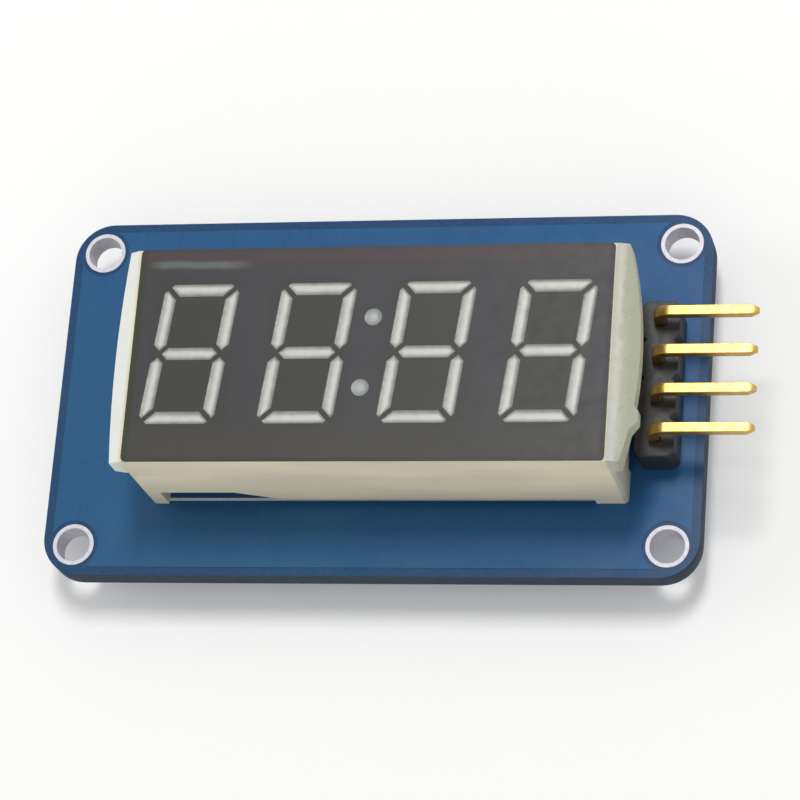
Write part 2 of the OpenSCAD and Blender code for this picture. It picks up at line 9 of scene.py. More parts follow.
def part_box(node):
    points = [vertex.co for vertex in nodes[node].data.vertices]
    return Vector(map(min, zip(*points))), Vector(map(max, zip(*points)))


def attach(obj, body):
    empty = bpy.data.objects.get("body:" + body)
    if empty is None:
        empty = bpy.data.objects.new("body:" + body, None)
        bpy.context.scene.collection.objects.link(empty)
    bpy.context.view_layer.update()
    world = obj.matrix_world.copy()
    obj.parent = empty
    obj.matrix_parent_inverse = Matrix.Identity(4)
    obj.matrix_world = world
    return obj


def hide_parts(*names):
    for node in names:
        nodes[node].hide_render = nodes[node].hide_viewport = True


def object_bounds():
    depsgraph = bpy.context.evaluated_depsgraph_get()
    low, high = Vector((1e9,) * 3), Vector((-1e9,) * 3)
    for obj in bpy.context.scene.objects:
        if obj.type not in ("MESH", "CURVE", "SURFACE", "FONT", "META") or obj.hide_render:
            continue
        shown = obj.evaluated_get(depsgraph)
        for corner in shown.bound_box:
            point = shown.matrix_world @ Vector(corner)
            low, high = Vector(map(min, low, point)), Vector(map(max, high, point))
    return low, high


# Four-digit seven segment display module: its finish and fine detail, built on the fixed frame.
# The scene is in metres. Sizes and places of the added detail are named in millimetres.

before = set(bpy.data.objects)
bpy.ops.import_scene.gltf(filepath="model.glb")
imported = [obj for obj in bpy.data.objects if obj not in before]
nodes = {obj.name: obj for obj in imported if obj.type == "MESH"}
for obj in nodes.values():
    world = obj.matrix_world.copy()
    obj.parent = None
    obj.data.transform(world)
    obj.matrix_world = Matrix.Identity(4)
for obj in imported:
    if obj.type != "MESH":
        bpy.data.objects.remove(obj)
cad_low, cad_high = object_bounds()
MM = 0.001


def box_mm(name):
    """Lowest and highest corner of a CAD node, in millimetres."""
    low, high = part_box(name)
    return [value / MM for value in low], [value / MM for value in high]


def middle_mm(name):
    """Middle of a CAD node in plan, in millimetres."""
    low, high = box_mm(name)
    return (low[0] + high[0]) / 2, (low[1] + high[1]) / 2


# Places from the frame, in millimetres

BOARD_LOW, BOARD_HIGH = box_mm("circuit_board")
FILM_LOW, FILM_HIGH = box_mm("face_film")
CHIP_LOW, CHIP_HIGH = box_mm("chip_body")
LEGS_LOW, LEGS_HIGH = box_mm("chip_legs")
RINGS_HIGH = box_mm("mounting_hole_rings")[1]
LEADS = [middle_mm(f"display_lead_{i}") for i in range(1, 13)]
PIN_X = middle_mm("header_joints")[0]
PINS = [(PIN_X, middle_mm(f"header_pin_{i}")[1]) for i in range(1, 5)]
RING_R = 1.35
HOLE_X = RINGS_HIGH[0] - RING_R
HOLE_Y = RINGS_HIGH[1] - RING_R
HOLES = [(x, y) for x in (-HOLE_X, HOLE_X) for y in (-HOLE_Y, HOLE_Y)]
SMALL_PARTS = [f"capacitor_{i}" for i in range(1, 5)] + ["resistor_1", "resistor_2"]

# Meshes: gap that is welded, and angles in degrees of flat, sharp and level faces

WELD_GAP = 0.001
FLAT_ANGLE = 1
SHARP_ANGLE = 25
LEVEL_NORMAL = 0.99
CDT_NEAR = 1e-5
LEAST_RUN = 1e-12

# Relief on the board: how far each layer stands proud, and how far it reaches into what carries it

MASK_RISE = 0.03
INK_RISE = 0.02
VIA_RISE = 0.02
PLATE_DIP = 0.01

# Copper under the mask

TRACK_W = 0.3
TRACK_GAP = 0.25
POUR_INSET = 0.55
POUR_CORNER_R = 2.0
POUR_HOLE_R = 1.6
PAD_GAP_R = 1.1
FRONT_TRACKS = (
    ((-15.3, 6.8), (-15.3, 7.8), (-14.7, 8.4), (14.2, 8.4)),
    ((-16.3, 6.4), (-16.3, 8.8), (-15.7, 9.4), (15.2, 9.4)),
)

# Vias at the ends of the front tracks, with the radius and share of the rise of each ring

VIA_SITES = [end for path in FRONT_TRACKS for end in (path[0], path[-1])]
VIA_DIMPLE_R = 0.08
VIA_PROFILE = ((0.09, 0.4), (0.15, 1.0), (0.24, 1.0), (0.32, 0.5))
VIA_FOOT_R = 0.34
VIA_GAP_R = 0.52

# Tracks on the back: the chip's legs, the lanes from them, and the stubs at the header's pins

LEG_PITCH = 1.27
LEG_HALF_W = 0.2
TOE_INSET = 0.3
TRACKS_A_ROW = 5
END_TRACK_START = 1.0
END_TRACK_BEND = 0.4
LANE_START = 0.8
LANE_OUTER = 3.75
LANE_PITCH = 0.6
LANE_BEND = 0.5
PIN_TRACK = 1.5

# Bare laminate round the lands of the chip and of the small parts

CHIP_GAP_OUT = 0.75
CHIP_GAP_IN = 0.2
CHIP_GAP_ALONG = 0.3
CHIP_GAP_R = 0.3
PART_GAP = (0.7, 0.22)
PART_GAP_R = 0.2

# Printed outlines

PRINT_LINE = 0.18
LEAST_PRINT_R = 0.01
DISPLAY_PRINT_HALF = 14.9
DISPLAY_PRINT_Y = (-6.97, 7.0)
CHIP_PRINT = (-0.3, 0.25)
PART_PRINT = (0.85, 0.35)
PART_PRINT_R = 0.2

# Solder: the tips of the joints, and the grip round a lead or pin, inside which no wave reaches

JOINT_EDGE_R = 0.03
JOINT_TOP = -0.12
JOINT_REACH = 1.0
JOINT_TAPER = 0.14
JOINT_THIN = 0.06
JOINT_CALM = 0.25
LEAD_GRIP = 0.27
PIN_GRIP = 0.47

# Cast fills: for each ring of the top, its brightness, pull towards its middle line, and depth

CORE = "core"
FILL_RINGS = ((0.25, 0.3, 0.03), (0.75, 0.6, 0.026), (1.0, 0.85, 0.02))

# Colours, as 8-bit sRGB

MASK_COPPER = (38, 88, 138)
MASK_GAP = (34, 70, 112)
MASK_SPECK = (70, 112, 160)
MASK_WEST_SHIFT = (8, 4, -8)
LAMINATE_EDGE = (54, 66, 80)
TIN = (205, 206, 205)
TIN_DULL = (170, 168, 160)
RING_TIN = (208, 206, 215)
RING_DULL = (190, 188, 195)
END_TIN = (208, 208, 208)
END_DULL = (182, 180, 174)
SOLDER = (212, 213, 214)
SOLDER_DULL = (184, 184, 182)
INK_WHITE = (226, 228, 226)
INK_THIN = (150, 170, 196)
SHELL = (234, 225, 196)
SHELL_FLOW = (220, 211, 186)
SHELL_SPECK = (196, 184, 158)
SHELL_RIM = (190, 189, 176)
SHELL_AGED = (168, 171, 148)
# Painted highlight: the shell's west end is whiter, as if light falls on it there
SHELL_PAINTED_HIGHLIGHT = (226, 230, 222)
FILM = (56, 54, 57)
FILM_TOP = (70, 57, 57)
FILM_WARM = (62, 62, 52)
FILM_IN_DIGIT = (50, 50, 43)
FILM_OLIVE = (44, 52, 30)
FILM_PURPLE = (44, 36, 48)
# Painted reflection: a pale streak near the film's top-left
FILM_PAINTED_REFLECTION = (104, 110, 104)
SEGMENT = (200, 200, 194)
SEGMENT_INSIDE = (202, 201, 194)
# Darker rim of the cast segments: partly ink over the edge, partly painted shade from the well's wall
SEGMENT_RIM_SHADE = (116, 117, 112)
COLON = (170, 175, 175)
# Darker tone of the colon's epoxy, and its rim: partly ink over the edge, partly painted shade from the
# well's wall
COLON_DARK_AND_RIM_SHADE = (122, 128, 126)
POTTING = (222, 218, 200)
POTTING_DARK = (206, 198, 172)
MOULD_BLACK = (30, 30, 32)
MOULD_LIGHT = (46, 46, 48)
HEADER_BLACK = (26, 26, 28)
HEADER_LIGHT = (44, 44, 46)
PIN_GOLD = (206, 170, 96)
PIN_DULL = (186, 150, 84)
CERAMIC_TAN = (178, 140, 100)
CERAMIC_DARK = (140, 104, 70)
ALUMINA = (232, 232, 226)
ALUMINA_DARK = (210, 208, 200)
COAT_BLACK = (22, 22, 24)
COAT_LIGHT = (40, 40, 42)
DIE_RED = (170, 80, 60)
DIE_DARK = (130, 60, 48)
INNER_BOARD = (60, 104, 66)
INNER_BOARD_DARK = (46, 84, 52)
FLOOR_WHITE = (254, 254, 253)

# Depths that light scatters to in red, green and blue, in metres

SHELL_SCATTER = (0.0006, 0.0005, 0.0004)
EPOXY_SCATTER = (0.0004, 0.0004, 0.00036)
RESIN_SCATTER = (0.0003, 0.0003, 0.00028)

# Bands where a tone starts or ends, in millimetres from the edge that it is measured from

MASK_LEAN = 1.4
MASK_FADE = (-30.0, 30.0)
# Band of the painted highlight at the shell's west end
SHELL_HIGHLIGHT_BAND = (-0.3, -0.1)
SHELL_RIM_BAND = (0.0, 0.1)
SHELL_AGED_BAND = (0.45, 0.75)
DIGIT_ASIDE = (-0.9, 0.1)
DIGIT_ABOVE = (-0.2, 0.5)
FILM_WARM_BAND = (9.5, 13.0)
FILM_TOP_START = (0.15, 0.35)
FILM_TOP_END = (0.85, 1.1)
# Band of the painted reflection on the film, measured from its top and left edges
REFLECTION_TOP = (0.75, 0.95)
REFLECTION_BOTTOM = (1.15, 1.4)
REFLECTION_LEFT = (0.5, 1.5)
REFLECTION_RIGHT = (5.5, 7.5)
FILM_LEFT_BAND = (0.3, 0.5)
FILM_FRONT_BAND = (0.15, 0.3)
FILM_RIGHT_BAND = (-0.4, -0.15)

# Ranges of noise: a soft step between two tones, fine grain, and the spreads of a roughness and a wander

SOFT = (0.35, 0.65)
GRAIN = (0.55, 0.75)
SPREAD = (0.3, 0.7)
WANDER = (0.2, 0.8)


# Material nodes

def linear(colour):
    """Linear RGBA from an 8-bit sRGB colour."""
    channels = [c / 255 for c in colour]
    curved = [c / 12.92 if c <= 0.04045 else ((c + 0.055) / 1.055) ** 2.4 for c in channels]
    return (*curved, 1.0)


def shade_of(colour, factor):
    """A darker or lighter shade of an 8-bit colour."""
    return tuple(min(255, c * factor) for c in colour)


class Look:
    """One material, whose pattern sizes are in millimetres of the object's own frame."""

    def __init__(self, name, **sockets):
        self.material = bpy.data.materials.new(name)
        self.material.use_nodes = True
        self.tree = self.material.node_tree
        self.shader = self.tree.nodes["Principled BSDF"]
        self.set(**sockets)
        coords = self.node("ShaderNodeTexCoord")
        scale = self.node("ShaderNodeVectorMath", operation="SCALE")
        scale.inputs["Scale"].default_value = 1 / MM
        self.link(coords.outputs["Object"], scale.inputs[0])
        self.place = scale.outputs[0]
        self.normal = None

    def node(self, kind, **settings):
        """Adds a node with those settings."""
        made = self.tree.nodes.new(kind)
        for key, value in settings.items():
            setattr(made, key, value)
        return made

    def link(self, start, end):
        self.tree.links.new(start, end)

    def feed(self, socket, value):
        """Sets a socket from another socket, a colour or a number."""
        if isinstance(value, bpy.types.NodeSocket):
            self.link(value, socket)
        elif socket.type == "RGBA":
            socket.default_value = linear(value)
        else:
            socket.default_value = value

    def set(self, **sockets):
        """Feeds the shader's own sockets, named with _ for each space."""
        for key, value in sockets.items():
            self.feed(self.shader.inputs[key.replace("_", " ")], value)

    def noise(self, size, detail=3.0, stretch=(1, 1, 1)):
        """Noise from 0 to 1 whose features are size millimetres across."""
        mapping = self.node("ShaderNodeMapping")
        mapping.inputs["Scale"].default_value = [1 / (size * s) for s in stretch]
        self.link(self.place, mapping.inputs["Vector"])
        made = self.node("ShaderNodeTexNoise")
        made.inputs["Scale"].default_value = 1.0
        made.inputs["Detail"].default_value = detail
        self.link(mapping.outputs[0], made.inputs["Vector"])
        return made.outputs["Fac"]

    def cells(self, size):
        """Distance from the middle of cells that are size millimetres across."""
        made = self.node("ShaderNodeTexVoronoi")
        made.inputs["Scale"].default_value = 1 / size
        self.link(self.place, made.inputs["Vector"])
        return made.outputs["Distance"]

    def math(self, operation, a, b=0.0):
        """Arithmetic on two values, each a number or a socket."""
        made = self.node("ShaderNodeMath", operation=operation)
        self.feed(made.inputs[0], a)
        self.feed(made.inputs[1], b)
        return made.outputs[0]

    def times(self, first, *others):
        """Product of several values."""
        for other in others:
            first = self.math("MULTIPLY", first, other)
        return first

    def span(self, value, low, high, to_low=0.0, to_high=1.0):
        """Maps a value from one range to another, and clamps it there."""
        made = self.node("ShaderNodeMapRange")
        for socket, number in zip(made.inputs[1:5], (low, high, to_low, to_high)):
            socket.default_value = number
        self.feed(made.inputs[0], value)
        return made.outputs[0]

    def rise(self, value, band, most=1.0, edge=0.0):
        """Goes from 0 up to most over a band that is measured from an edge."""
        return self.span(value, edge + band[0], edge + band[1], 0.0, most)

    def fall(self, value, band, most=1.0, edge=0.0):
        """Goes from most down to 0 over a band that is measured from an edge."""
        return self.span(value, edge + band[0], edge + band[1], most, 0.0)

    def cloud(self, size, band=SOFT, most=1.0, **pattern):
        """Noise of that size, raised from 0 to most over a band of its range."""
        return self.rise(self.noise(size, **pattern), band, most)

    def mix(self, share, first, second):
        """Mixes two colours, each a colour or a socket."""
        # Sockets 6 and 7 and output 2 are the node's colours; the lower ones are its numbers
        made = self.node("ShaderNodeMix", data_type="RGBA")
        self.feed(made.inputs[0], share)
        self.feed(made.inputs[6], first)
        self.feed(made.inputs[7], second)
        return made.outputs[2]

    def split(self, vector):
        """The X, Y and Z of a vector."""
        made = self.node("ShaderNodeSeparateXYZ")
        self.link(vector, made.inputs[0])
        return made.outputs

    def facing_up(self):
        """The surface's own normal along Z, from -1 to 1."""
        coords = self.node("ShaderNodeTexCoord")
        return self.split(coords.outputs["Normal"])[2]

    def rough(self, size, low, high, detail=3.0):
        """Sets a roughness that wanders between two levels in patches of that size."""
        self.set(Roughness=self.span(self.noise(size, detail), *SPREAD, low, high))

    def bump(self, size, depth, detail=3.0):
        """Adds uneven relief of that size and depth, in millimetres."""
        made = self.node("ShaderNodeBump")
        made.inputs["Strength"].default_value = 1.0
        made.inputs["Distance"].default_value = depth * MM
        self.link(self.noise(size, detail), made.inputs["Height"])
        if self.normal is not None:
            self.link(self.normal, made.inputs["Normal"])
        self.normal = made.outputs[0]
        self.link(self.normal, self.shader.inputs["Normal"])


# Looks

def board_mask(name, colour):
    """Blue solder mask on the faces, with routed laminate at the board's edges."""
    look = Look(name, Specular_IOR_Level=0.15)
    x, y, _ = look.split(look.place)
    across = look.rise(look.math("ADD", x, look.times(y, MASK_LEAN)), MASK_FADE)
    west = tuple(c + shift for c, shift in zip(colour, MASK_WEST_SHIFT))
    base = look.mix(across, west, colour)
    base = look.mix(look.cloud(size=5.0, most=0.5), base, shade_of(colour, 0.93))
    specks = look.cloud(size=0.25, band=(0.4, 0.7), most=0.1, detail=2.0)
    base = look.mix(specks, base, MASK_SPECK)
    weave = look.cloud(size=0.12, detail=2.0, stretch=(6, 6, 1))
    edge = look.mix(weave, LAMINATE_EDGE, shade_of(LAMINATE_EDGE, 0.82))
    face = look.rise(look.math("ABSOLUTE", look.facing_up()), (0.3, 0.6))
    look.set(Base_Color=look.mix(face, edge, base))
    satin = look.span(look.noise(size=2.0, detail=4.0), *SPREAD, 0.2, 0.28)
    sawn = look.fall(face, (0.0, 1.0), most=0.5)
    look.set(Roughness=look.math("ADD", satin, sawn))
    look.bump(size=1.6, depth=0.004)
    look.bump(size=0.12, depth=0.001, detail=2.0)
    return look.material


def metal(name, colour, dull, roughness, size=0.3, relief=0.003, metallic=1.0):
    """Plated or tinned metal with a fine uneven skin."""
    look = Look(name, Metallic=metallic)
    patches = look.cloud(size, band=(0.35, 0.75), detail=4.0)
    look.set(Base_Color=look.mix(patches, colour, dull))
    look.rough(size=size * 0.6, low=roughness, high=roughness + 0.14)
    look.bump(size, relief)
    return look.material


def white_shell():
    """Cream moulded plastic, waxy, with faint flow marks, aged and flecked at the gate's end, and a painted
    highlight at the west end.
    """
    look = Look("white_shell", Subsurface_Weight=0.06, Subsurface_Radius=SHELL_SCATTER)
    x = look.split(look.place)[0]
    flow = look.cloud(size=6.0, stretch=(1.6, 1, 0.5))
    colour = look.mix(flow, SHELL, SHELL_FLOW)
    # Painted highlight: whiter west of the film's edge, as if light falls on the lip there
    painted_highlight = look.fall(x, SHELL_HIGHLIGHT_BAND, edge=FILM_LOW[0])
    colour = look.mix(painted_highlight, colour, SHELL_PAINTED_HIGHLIGHT)
    rim = look.rise(x, SHELL_RIM_BAND, edge=FILM_HIGH[0])
    colour = look.mix(rim, colour, SHELL_RIM)
    wander = look.span(look.noise(size=1.1), *WANDER, -0.25, 0.25)
    aged = look.rise(look.math("ADD", x, wander), SHELL_AGED_BAND, edge=FILM_HIGH[0])
    flecks = look.fall(look.cells(size=0.34), (0.0, 0.22), most=0.6)
    colour = look.mix(aged, colour, look.mix(flecks, SHELL_AGED, shade_of(SHELL_AGED, 0.72)))
    specks = look.cloud(size=0.35, band=(0.66, 0.78), most=0.3, detail=2.0)
    look.set(Base_Color=look.mix(specks, colour, SHELL_SPECK))
    look.rough(size=0.5, low=0.4, high=0.54)
    look.bump(size=1.2, depth=0.01)
    look.bump(size=0.08, depth=0.002, detail=2.0)
    return look.material


def over_digits(look, x, y):
    """1 over each digit, falling to 0 between them."""
    share = 0.0
    for i in range(1, 5):
        name = f"digit_{i}_segments"
        low, high = box_mm(name)
        middle_x, middle_y = middle_mm(name)
        aside = look.math("ABSOLUTE", look.math("SUBTRACT", x, middle_x))
        above = look.math("ABSOLUTE", look.math("SUBTRACT", y, middle_y))
        near_x = look.fall(aside, DIGIT_ASIDE, edge=(high[0] - low[0]) / 2)
        near_y = look.fall(above, DIGIT_ABOVE, edge=(high[1] - low[1]) / 2)
        share = look.math("ADD", look.times(near_x, near_y), share)
    return share


def film_tones(look):
    """Share and colour of each tone that lies over the film's own grey, a painted reflection among them,
    from the lowest to the highest.
    """
    x, y, _ = look.split(look.place)
    wander = look.span(look.noise(size=3.0, detail=2.0), *WANDER, -0.12, 0.12)
    down = look.math("SUBTRACT", FILM_HIGH[1], look.math("ADD", y, wander))
    left = FILM_LOW[0]
    top = look.times(look.rise(down, FILM_TOP_START), look.fall(down, FILM_TOP_END, most=0.8))
    # Painted reflection: a pale streak near the top-left of the film
    painted_reflection = look.times(
        look.rise(down, REFLECTION_TOP), look.fall(down, REFLECTION_BOTTOM, most=0.75),
        look.rise(x, REFLECTION_LEFT, edge=left), look.fall(x, REFLECTION_RIGHT, edge=left),
    )
    return (
        (look.rise(down, FILM_WARM_BAND, most=0.45), FILM_WARM),
        (look.times(over_digits(look, x, y), 0.6), FILM_IN_DIGIT),
        (top, FILM_TOP),
        (painted_reflection, FILM_PAINTED_REFLECTION),
        (look.fall(x, FILM_LEFT_BAND, most=0.85, edge=left), FILM_OLIVE),
        (look.fall(y, FILM_FRONT_BAND, most=0.6, edge=FILM_LOW[1]), FILM_OLIVE),
        (look.rise(x, FILM_RIGHT_BAND, most=0.7, edge=FILM_HIGH[0]), FILM_PURPLE),
    )


def dark_film():
    """Dark grey face film: satin ink with fine speckle, tones along its edges and in its digits, and a
    painted reflection near its top-left.
    """
    look = Look("dark_film", Specular_IOR_Level=0.28)
    colour = look.mix(look.cloud(size=4.0), FILM, shade_of(FILM, 0.94))
    speckle = look.cloud(size=0.11, band=SPREAD, most=0.3, detail=2.0)
    colour = look.mix(speckle, colour, shade_of(FILM, 1.25))
    for share, tone in film_tones(look):
        colour = look.mix(share, colour, tone)
    look.set(Base_Color=colour)
    look.rough(size=0.8, low=0.34, high=0.46)
    look.bump(size=0.05, depth=0.001, detail=2.0)
    look.bump(size=2.5, depth=0.003, detail=2.0)
    return look.material


def milky(name, colour, dark, weight):
    """Cast epoxy with white filler, soft inside."""
    look = Look(name, Subsurface_Weight=weight, Subsurface_Radius=EPOXY_SCATTER)
    base = look.mix(look.cloud(size=0.6), colour, dark)
    grain = look.cloud(size=0.06, band=GRAIN, most=0.3, detail=2.0)
    look.set(Base_Color=look.mix(grain, base, dark))
    look.rough(size=0.3, low=0.3, high=0.42, detail=2.0)
    look.bump(size=0.3, depth=0.003)
    return look.material


def cast_resin(name, colour, rim):
    """White filled epoxy, brighter over the middle of its well than at the rim, where the darker tone is
    partly ink over the edge and partly painted shade from the well's wall.
    """
    look = Look(name, Subsurface_Weight=0.06, Subsurface_Radius=RESIN_SCATTER)
    core = look.node("ShaderNodeAttribute", attribute_name=CORE)
    wander = look.span(look.noise(size=0.5), *SPREAD, -0.1, 0.1)
    share = look.rise(look.math("ADD", core.outputs["Fac"], wander), (0.0, 1.0))
    base = look.mix(share, rim, colour)
    grain = look.cloud(size=0.06, band=GRAIN, most=0.2, detail=2.0)
    look.set(Base_Color=look.mix(grain, base, shade_of(colour, 0.9)))
    look.rough(size=0.3, low=0.34, high=0.46, detail=2.0)
    look.bump(size=0.3, depth=0.002)
    return look.material


def ink(name, colour, thin):
    """Screen-printed epoxy ink, matt, thin and slightly uneven."""
    look = Look(name, Specular_IOR_Level=0.3)
    worn = look.cloud(size=0.18, band=(0.42, 0.72), most=0.35)
    look.set(Base_Color=look.mix(worn, colour, thin))
    look.rough(size=0.2, low=0.5, high=0.64, detail=2.0)
    look.bump(size=0.1, depth=0.002, detail=2.0)
    return look.material


def moulded(name, colour, light, roughness, grain):
    """Filled moulding compound or nylon, matt with a fine grain."""
    look = Look(name)
    base = look.mix(look.cloud(size=1.5, most=0.5), colour, light)
    pits = look.fall(look.cells(grain), (0.0, 0.5), most=0.35)
    look.set(Base_Color=look.mix(pits, base, light))
    look.rough(size=0.4, low=roughness, high=roughness + 0.14)
    look.bump(size=grain, depth=0.003)
    look.bump(size=1.2, depth=0.006, detail=2.0)
    return look.material


def ceramic(name, colour, dark, roughness):
    """Fired ceramic or glaze with fine pores."""
    look = Look(name)
    base = look.mix(look.cloud(size=0.3), colour, shade_of(colour, 0.94))
    pores = look.fall(look.cells(size=0.07), (0.0, 0.35), most=0.6)
    look.set(Base_Color=look.mix(pores, base, dark))
    look.rough(size=0.2, low=roughness, high=roughness + 0.12, detail=2.0)
    look.bump(size=0.06, depth=0.002, detail=2.0)
    return look.material


def plain_name(material):
    """Name of a material, without the number that Blender may add."""
    return material.name.split(".")[0]


MATERIALS = (
    board_mask("board_mask", MASK_GAP),
    board_mask("mask_on_copper", MASK_COPPER),
    metal("tinned_copper", RING_TIN, RING_DULL, roughness=0.42, metallic=0.2),
    white_shell(),
    dark_film(),
    milky("colon_epoxy", COLON, COLON_DARK_AND_RIM_SHADE, weight=0.1),
    metal("led_die", DIE_RED, DIE_DARK, roughness=0.3, size=0.1),
    ceramic("inner_board", INNER_BOARD, INNER_BOARD_DARK, roughness=0.4),
    milky("clear_epoxy", POTTING, POTTING_DARK, weight=0.15),
    milky("white_epoxy", SEGMENT, SEGMENT_INSIDE, weight=0.1),
    cast_resin("cast_segment", SEGMENT, SEGMENT_RIM_SHADE),
    cast_resin("cast_colon", COLON, COLON_DARK_AND_RIM_SHADE),
    ink("white_ink", INK_WHITE, INK_THIN),
    metal("tinned_steel", TIN, TIN_DULL, roughness=0.26, size=0.2),
    metal("solder", SOLDER, SOLDER_DULL, roughness=0.2, size=0.4),
    moulded("black_plastic", HEADER_BLACK, HEADER_LIGHT, roughness=0.42, grain=0.09),
    metal("gold_pin", PIN_GOLD, PIN_DULL, roughness=0.28, size=0.6, relief=0.001),
    moulded("chip_mould", MOULD_BLACK, MOULD_LIGHT, roughness=0.5, grain=0.06),
    ceramic("cap_ceramic", CERAMIC_TAN, CERAMIC_DARK, roughness=0.42),
    metal("tinned_end", END_TIN, END_DULL, roughness=0.34, size=0.15),
    ceramic("white_ceramic", ALUMINA, ALUMINA_DARK, roughness=0.5),
    ceramic("black_coat", COAT_BLACK, COAT_LIGHT, roughness=0.3),
)
LOOKS = {plain_name(material): material for material in MATERIALS}


def dress():
    """Gives each CAD node the look of its material slot."""
    for obj in nodes.values():
        for slot in obj.material_slots:
            slot.material = LOOKS[plain_name(slot.material)]


# Pieces from meshes

def filed(piece, slot, look, *replaced):
    """Gives a new piece its look and its body, and hides the nodes that it stands for. The slot is not
    used.
    """
    piece.data.materials.append(LOOKS[look])
    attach(piece, "root")
    if replaced:
        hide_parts(*replaced)


def mesh_piece(name, body, sharp=50):
    """A smooth-shaded object from a bmesh, whose large faces stay flat and whose sharp edges stay sharp."""
    mesh = bpy.data.meshes.new(name)
    body.to_mesh(mesh)
    body.free()
    # The new faces don't keep the frame's own normals
    if "custom_normal" in mesh.attributes:
        mesh.attributes.remove(mesh.attributes["custom_normal"])
    mesh.shade_smooth()
    mesh.set_sharp_from_angle(angle=math.radians(sharp))
    piece = bpy.data.objects.new(name, mesh)
    bpy.context.scene.collection.objects.link(piece)
    even = piece.modifiers.new("even_normals", "WEIGHTED_NORMAL")
    even.keep_sharp = True
    return piece


def welded(name):
    """A bmesh of a CAD node, with its triangles merged into whole flat faces."""
    body = bmesh.new()
    body.from_mesh(nodes[name].data)
    bmesh.ops.remove_doubles(body, verts=body.verts, dist=WELD_GAP * MM)
    flat = math.radians(FLAT_ANGLE)
    bmesh.ops.dissolve_limit(body, angle_limit=flat, verts=body.verts, edges=body.edges)
    return body


def round_edges(body, radius, steps):
    """Rounds the sharp edges of a bmesh."""
    edges = []
    for edge in body.edges:
        if len(edge.link_faces) == 2 and edge.calc_face_angle(0.0) > math.radians(SHARP_ANGLE):
            edges.append(edge)
    bmesh.ops.bevel(
        body, geom=edges, offset=radius * MM, segments=steps, profile=0.5, affect="EDGES",
        clamp_overlap=True
    )


def soften(name, radius, steps=2):
    """Stands a copy with rounded edges in for a CAD node."""
    body = welded(name)
    round_edges(body, radius, steps)
    slot = plain_name(nodes[name].material_slots[0].material)
    filed(mesh_piece("soft_" + name, body), slot, slot, name)


# Solder joints

def from_lead(spot, sites):
    """Distance in plan from a spot to the nearest lead or pin, in millimetres."""
    return min((spot.xy / MM - Vector(site)).length for site in sites)


def cone_tips(body, level, sites):
    """Swaps the flat faces at the joints' tips for bands from the rim to the lead."""
    tips = [face for face in body.faces if all(vert.co.z < level for vert in face.verts)]
    bmesh.ops.delete(body, geom=tips, context="FACES")
    for site in sites:
        open_edges = [edge for edge in body.edges if edge.is_boundary]
        rims = [edge for edge in open_edges if from_lead(edge.verts[0].co, [site]) < JOINT_REACH]
        bmesh.ops.bridge_loops(body, edges=rims)


def draw_tips(body, sites, grip):
    """Turns the flat tips of soldered joints into cones that climb their leads."""
    level = min(vert.co.z for vert in body.verts) + WELD_GAP * MM
    cone_tips(body, level, sites)
    for vert in [vert for vert in body.verts if vert.co.z < level]:
        if from_lead(vert.co, sites) < grip:
            vert.co.z -= JOINT_TAPER * MM
        else:
            lead = min(sites, key=lambda site: from_lead(vert.co, [site]))
            out = vert.co.xy - Vector(lead) * MM
            vert.co.xy -= out.normalized() * JOINT_THIN * MM
    bmesh.ops.recalc_face_normals(body, faces=body.faces)


def calm(spot, sites, grip):
    """Share of the waves at a spot: none on a lead, and all of them a little further out."""
    if not sites:
        return 1.0
    return min(max((from_lead(spot, sites) - grip) / JOINT_CALM, 0.0), 1.0)


def uneven(name, swell, size, sites=(), grip=0.0):
    """Stands a copy with rounded edges and a wavy skin in for a CAD node of soldered joints."""
    body = welded(name)
    if sites:
        draw_tips(body, sites, grip)
    round_edges(body, JOINT_EDGE_R, steps=1)
    body.normal_update()
    for vert in [vert for vert in body.verts if vert.co.z < JOINT_TOP * MM]:
        wave = noise.noise(vert.co / (size * MM)) * swell * MM * calm(vert.co, sites, grip)
        vert.co += vert.normal * wave
    filed(mesh_piece("wavy_" + name, body, sharp=70), "solder", "solder", name)


# Cast fills

def spine(outline):
    """Ends of the middle line of a long flat outline."""
    centre = sum(outline, Vector()) / len(outline)
    edges = [b - a for a, b in zip(outline, outline[1:] + outline[:1])]
    along = max(edges, key=lambda edge: edge.length).normalized()
    side = along.cross(Vector((0, 0, 1)))
    reach = max(abs((spot - centre).dot(along)) for spot in outline)
    width = max(abs((spot - centre).dot(side)) for spot in outline)
    half = max(reach - width, 0.0)
    return centre - along * half, centre + along * half


def towards(spot, start, end, share):
    """Moves a spot by that share of its way to the nearest point of a line."""
    run = end - start
    along = (spot - start).dot(run) / max(run.length_squared, LEAST_RUN)
    return spot.lerp(start + run * min(max(along, 0.0), 1.0), share)


def crown(body, cap, core):
    """Swaps a flat face for rings that sink at the rim and rise towards its middle line."""
    ring = list(cap.verts)
    outline = [vert.co.copy() for vert in ring]
    start, end = spine(outline)
    body.faces.remove(cap)
    for share, pull, sink in FILL_RINGS:
        down = Vector((0, 0, sink * MM))
        inner = [body.verts.new(towards(spot, start, end, pull) - down) for spot in outline]
        for vert in inner:
            vert[core] = share
        for i in range(len(ring)):
            j = (i + 1) % len(ring)
            body.faces.new((ring[i], ring[j], inner[j], inner[i]))
        ring = inner
    body.faces.new(ring)


def cast_fills(name, slot, look):
    """Cast fills whose tops sink at the rim and rise to a low crown, as resin does in its well."""
    body = welded(name)
    core = body.verts.layers.float.new(CORE)
    top = max(vert.co.z for vert in body.verts) - WELD_GAP * MM
    level = [face for face in body.faces if face.normal.z > LEVEL_NORMAL]
    for cap in [face for face in level if face.calc_center_median().z > top]:
        crown(body, cap, core)
    filed(mesh_piece("cast_" + name, body, sharp=60), slot, look, name)


# Outlines

